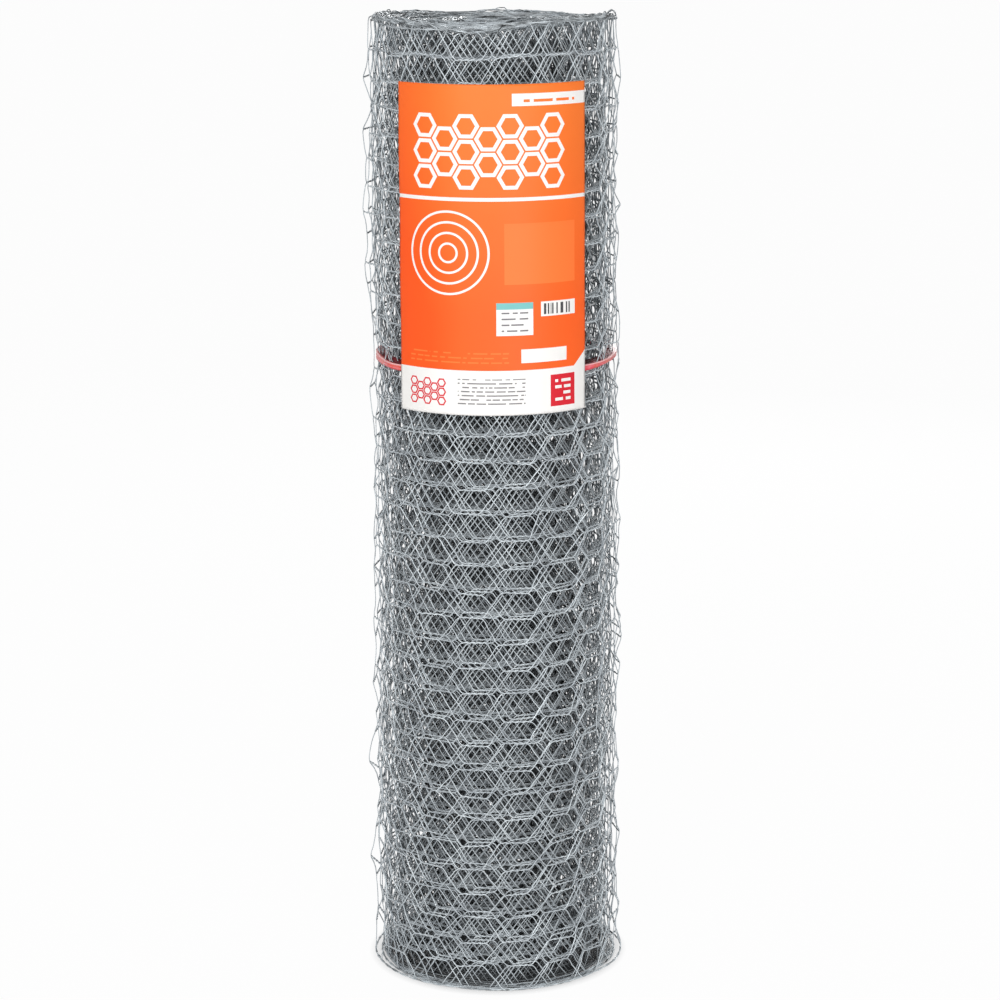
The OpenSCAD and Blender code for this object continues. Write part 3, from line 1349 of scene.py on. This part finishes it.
@dataclass
class LabelCard:
    """The printed card, bent round the front.

    Attributes:
        outline: The roll's outer shape.
        place: Where the card lies.
        across: Grid points over the width.
        along: Grid points over the height.
        wave: How far the card waves in and out.
    """

    outline: Outline
    place: CardPlace
    across: int = 97
    along: int = 129
    wave: float = 0.35 * MM

    def build(self) -> bpy.types.Object:
        """Make the card: a grid of angle and height at the crest radius plus a soft wave.

        A second grid behind it is its back, and walls along their borders close it.

        Returns:
            The piece, with the map named card, whose u and v run over the front from its lower left corner.
        """
        u, v = np.linspace(0.0, 1.0, self.across)[None, :], np.linspace(0.0, 1.0, self.along)[:, None]
        angle = FRONT + (2.0 * u - 1.0) * self.place.half_angle + 0.0 * v
        z = self.place.foot + (self.place.top - self.place.foot) * v + 0.0 * u
        waves = Waves(seed=41, count=5, around=9, along=7.0)(angle, z)
        back = self.outline.crest(z) + self.place.seat + self.wave * (1.0 + waves)
        sheets = [cylindrical(back + t, angle, z).reshape(-1, 3) for t in (self.place.thickness, 0.0)]
        count = self.across * self.along
        front = grid_faces(self.along, self.across, closed=False)[:, ::-1]
        rim = self._rim()
        walls = np.stack([rim, rim + count, np.roll(rim, -1) + count, np.roll(rim, -1)], axis=1)
        piece = make_piece("card", np.concatenate(sheets), [front, front[:, ::-1] + count, walls])
        flat = np.stack([u + 0.0 * v, v + 0.0 * u], axis=-1).reshape(-1, 2)
        set_uv(piece, "card", np.concatenate([flat, flat]))
        log.info("card: %d faces", len(piece.data.polygons))
        return piece

    def _rim(self) -> np.ndarray:
        """Numbers of the front's border points, once round."""
        grid = np.arange(self.along * self.across).reshape(self.along, self.across)
        return np.concatenate([grid[0, :-1], grid[:-1, -1], grid[-1, :0:-1], grid[:0:-1, 0]])

    def dress(self, piece: bpy.types.Object) -> None:
        """Print its front, leave its back and its edges plain, and tie it to the frame."""
        width = 2.0 * self.place.half_angle * float(self.outline.crest(np.float64(self.place.top)))
        piece.data.materials.append(CardPrint(width, self.place.top - self.place.foot).make())
        piece.data.materials.append(CardBack().make())
        plain = np.arange(len(piece.data.polygons)) >= (self.across - 1) * (self.along - 1)
        piece.data.polygons.foreach_set("material_index", plain.astype(np.int32))
        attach(piece, "root")
        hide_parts("label_card")


@dataclass
class TieBand:
    """The film tied round the waist: a creased outer fold with a wide flap that leans in behind it.

    Attributes:
        radius: Inner radius of the outer fold.
        foot: Height of the solid band's lower edge.
        dip: How much deeper the film lies at -X, where the last turn passes outside it.
        bulge: How much further out it lies at +X, where it passes outside the last turn.
        narrow: How much narrower the bunched film is at +X, as a share.
        lift: How much higher it hangs there.
        rise: How much higher than the solid band it hangs everywhere.
        drift: How far it strays up and down.
        crumple: How far its face is crumpled in and out.
        proud: How far a crease may stand out.
        steps: Points round the roll.
        profile: The thin loop in radius and height that goes round the roll.
    """

    radius: float
    foot: float
    dip: float = 3.4 * MM
    bulge: float = 2.8 * MM
    narrow: float = 0.3
    lift: float = 2.0 * MM
    rise: float = 1.2 * MM
    drift: float = 1.5 * MM
    crumple: float = 0.6 * MM
    proud: float = 0.3 * MM
    steps: int = 480
    profile: np.ndarray = field(default_factory=lambda: MM * np.array([
        [0.0, 0.0], [0.6, 0.6], [0.8, 1.9], [0.3, 3.6], [0.75, 5.4], [0.3, 7.4], [0.75, 9.2], [0.5, 10.4],
        [-0.4, 11.0], [-5.6, 9.9], [-10.4, 10.9], [-14.6, 15.6], [-15.0, 15.4], [-10.9, 10.5], [-6.1, 9.3],
        [-1.0, 10.2], [-0.3, 7.0], [-0.3, 3.4]]))

    def build(self) -> bpy.types.Object:
        """Carry the closed profile round the roll.

        Seeded waves of the angle stretch its width, shift it up and down, and crumple its face in and out, so
        that the film bunches here and spreads there.

        Returns:
            The piece, with the map named film: u is the way round and v grows from the lower edge over the
            fold and in along the flap, in metres.
        """
        out, up = self.profile.T
        angle = np.linspace(0.0, TAU, self.steps, endpoint=False)[:, None]
        flat = 0.0 * angle
        bunch = 1.12 - 0.32 * (0.5 + 0.5 * Waves(seed=7, count=4, around=6, along=1.0)(angle, flat))
        drift = self.drift * Waves(seed=8, count=4, around=5, along=1.0)(angle, flat)
        crumple = self.crumple * Waves(seed=9, count=8, around=60, along=90.0)(angle, up)
        left, right = (smooth_step(side * np.cos(angle), 0.82, 0.97) for side in (-1.0, 1.0))
        width = bunch * (1.0 - self.narrow * right)
        height = self.foot + self.rise + drift + up * width + self.lift * right
        moved = self.radius - self.dip * left + self.bulge * right
        reach = moved + out + np.minimum(crumple, self.proud)
        points = cylindrical(reach, angle, height).reshape(-1, 3)
        faces = grid_faces(self.steps + 1, len(out), closed=True)[:, ::-1] % len(points)
        piece = make_piece("tie", points, [faces])
        way = up + np.where(out < -5 * MM, np.abs(out) * 0.35, 0.0)
        film = np.broadcast_arrays(angle * self.radius, way)
        set_uv(piece, "film", np.stack(film, axis=-1).reshape(-1, 2))
        log.info("tie: %d faces", len(piece.data.polygons))
        return piece

    def dress(self, piece: bpy.types.Object) -> None:
        """Give the tie its film, and tie it to the frame."""
        piece.data.materials.append(TieFilm().make())
        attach(piece, "root")
        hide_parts("tie_band")


@dataclass
class Lamp:
    """One soft studio lamp.

    Attributes:
        name: Its name.
        place: Where it hangs.
        aim: What it points at.
        size: Width and height of its face.
        power: Its power in watts.
    """

    name: str
    place: Place
    aim: Place
    size: tuple[float, float]
    power: float

    def hang(self) -> None:
        """Put the lamp in the scene."""
        data = bpy.data.lights.new(self.name, "AREA")
        data.shape, data.size, data.size_y, data.energy = "RECTANGLE", self.size[0], self.size[1], self.power
        lamp = bpy.data.objects.new(self.name, data)
        lamp.location = self.place
        lamp.rotation_euler = (Vector(self.aim) - Vector(self.place)).to_track_quat("-Z", "Y").to_euler()
        bpy.context.scene.collection.objects.link(lamp)


@dataclass
class Studio:
    """Floor, lamps, sky and camera.

    Attributes:
        lens: Focal length on a 36 mm sensor, in millimetres.
        away: Distance from the roll's axis to the camera.
        up: Height of the camera.
        aside: How far the camera stands beside the line to the axis.
        round: How far the camera stands round the roll from the card's middle, in degrees.
        tilt: How far it looks down, in degrees.
        lean: How far it leans to its side, in degrees.
        ground: Half the width of the floor.
        shadow_fade: Distances from the axis over which the painted shadow under the roll fades to white, from
            and to.
        daylight: Brightness of the sky as a light.
    """

    lens: float = 110.2
    away: float = 4.716
    up: float = 1.841
    aside: float = 0.0075
    round: float = 0.83
    tilt: float = 13.02
    lean: float = -0.325
    ground: float = 40.0
    shadow_fade: tuple[float, float] = (0.165, 0.21)
    daylight: float = 0.25

    def build(self) -> None:
        """Make the floor, the sky, the lamps and the camera."""
        self._floor()
        self._sky()
        for lamp in self._lamps():
            lamp.hang()
        self._camera()
        bpy.context.scene.view_settings.view_transform = "Standard"

    def _lamps(self) -> list[Lamp]:
        """The lamps: a broad key at -X, a fill at +X, one above and one behind."""
        return [
            Lamp("key_lamp", (-1.3, -4.1, 2.7), (0.0, 0.0, 0.8), (1.3, 1.8), 115.0),
            Lamp("fill_lamp", (1.7, -3.9, 0.95), (0.0, 0.0, 0.7), (1.3, 1.6), 59.0),
            Lamp("top_lamp", (0.0, 0.4, 3.8), (0.0, 0.0, 0.8), (2.0, 2.0), 14.0),
            Lamp("back_lamp", (0.8, 4.2, 2.0), (0.0, 0.0, 0.8), (1.6, 1.8), 62.0),
        ]

    def _floor(self) -> None:
        """A wide pale floor that keeps the shadow, that the camera sees nearly white, with painted shadow
        under the roll.
        """
        corners = self.ground * np.array([[-1, -1, 0], [1, -1, 0], [1, 1, 0], [-1, 1, 0]])
        floor = make_piece("floor", corners, [np.array([[0, 1, 2, 3]])], smooth=False)
        material = bpy.data.materials.new("floor_paint")
        material.use_nodes = True
        material.node_tree.nodes.clear()
        shades = Shades(material.node_tree)
        matte = shades.value("ShaderNodeBsdfDiffuse", 0, {"Color": (0.75, 0.75, 0.75, 1.0)})
        glow = shades.value("ShaderNodeEmission", 0, {"Strength": 1.0})
        far = shades.value("ShaderNodeVectorMath", "Value", {0: shades.place()}, operation="LENGTH")
        # Painted shadow: the floor's glow is taken away near the axis, under the roll.
        share = shades.seen() * far.graded(*self.shadow_fade, 0.05, 0.97)
        shades.blend(share, matte, glow, "ShaderNodeOutputMaterial")
        floor.data.materials.append(material)

    def _sky(self) -> None:
        """An even grey sky that lights the roll, white where the camera or a reflection sees it."""
        world = bpy.data.worlds.new("studio_sky")
        world.use_nodes = True
        world.node_tree.nodes.clear()
        shades = Shades(world.node_tree)
        soft, white = (
            shades.value("ShaderNodeBackground", 0, {"Color": (1.0, 1.0, 1.0, 1.0), "Strength": strength})
            for strength in (self.daylight, 1.0))
        shades.blend(shades.seen(), soft, white, "ShaderNodeOutputWorld")
        bpy.context.scene.world = world

    def _camera(self) -> None:
        """The camera, in front of the card and a little above the roll."""
        data = bpy.data.cameras.new("camera")
        data.lens, data.sensor_width = self.lens, 36.0
        data.clip_end = 200.0
        camera = bpy.data.objects.new("camera", data)
        yaw = Matrix.Rotation(math.radians(self.round), 4, "Z")
        stand = Matrix.Translation((self.aside, -self.away, self.up))
        pitch = Matrix.Rotation(math.radians(90.0 - self.tilt), 4, "X")
        camera.matrix_world = yaw @ stand @ pitch @ Matrix.Rotation(math.radians(self.lean), 4, "Z")
        bpy.context.scene.collection.objects.link(camera)
        bpy.context.scene.camera = camera


def main() -> None:
    """Build the studio and the three parts of the roll, in order."""
    logging.basicConfig(level=logging.INFO, format="%(name)s: %(message)s")
    roll_low, roll_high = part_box("mesh_roll")
    card_low, card_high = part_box("label_card")
    tie_low, tie_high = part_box("tie_band")
    bore = next(m for m in frame["record"]["mounts"] if m["name"] == "bore")

    outline = Outline(height=roll_high[2] - roll_low[2], tie_z=0.5 * (tie_low[2] + tie_high[2]))
    seat, thickness, film = 0.3 * MM, 0.6 * MM, 0.6 * MM
    half_angle = math.asin(card_high[0] / (float(outline.crest(np.float64(card_low[2]))) + seat + thickness))
    place = CardPlace(card_low[2], card_high[2], half_angle, seat, thickness)
    winding = Winding(outline=outline, card=place, core_radius=bore["dims"]["r_mm"] * MM)

    Studio().build()
    roll = MeshRoll(Netting(winding))
    roll.dress(roll.build())
    card = LabelCard(outline, place)
    card.dress(card.build())
    tie = TieBand(radius=tie_high[0] - film, foot=tie_low[2])
    tie.dress(tie.build())


if __name__ == "__main__":
    main()
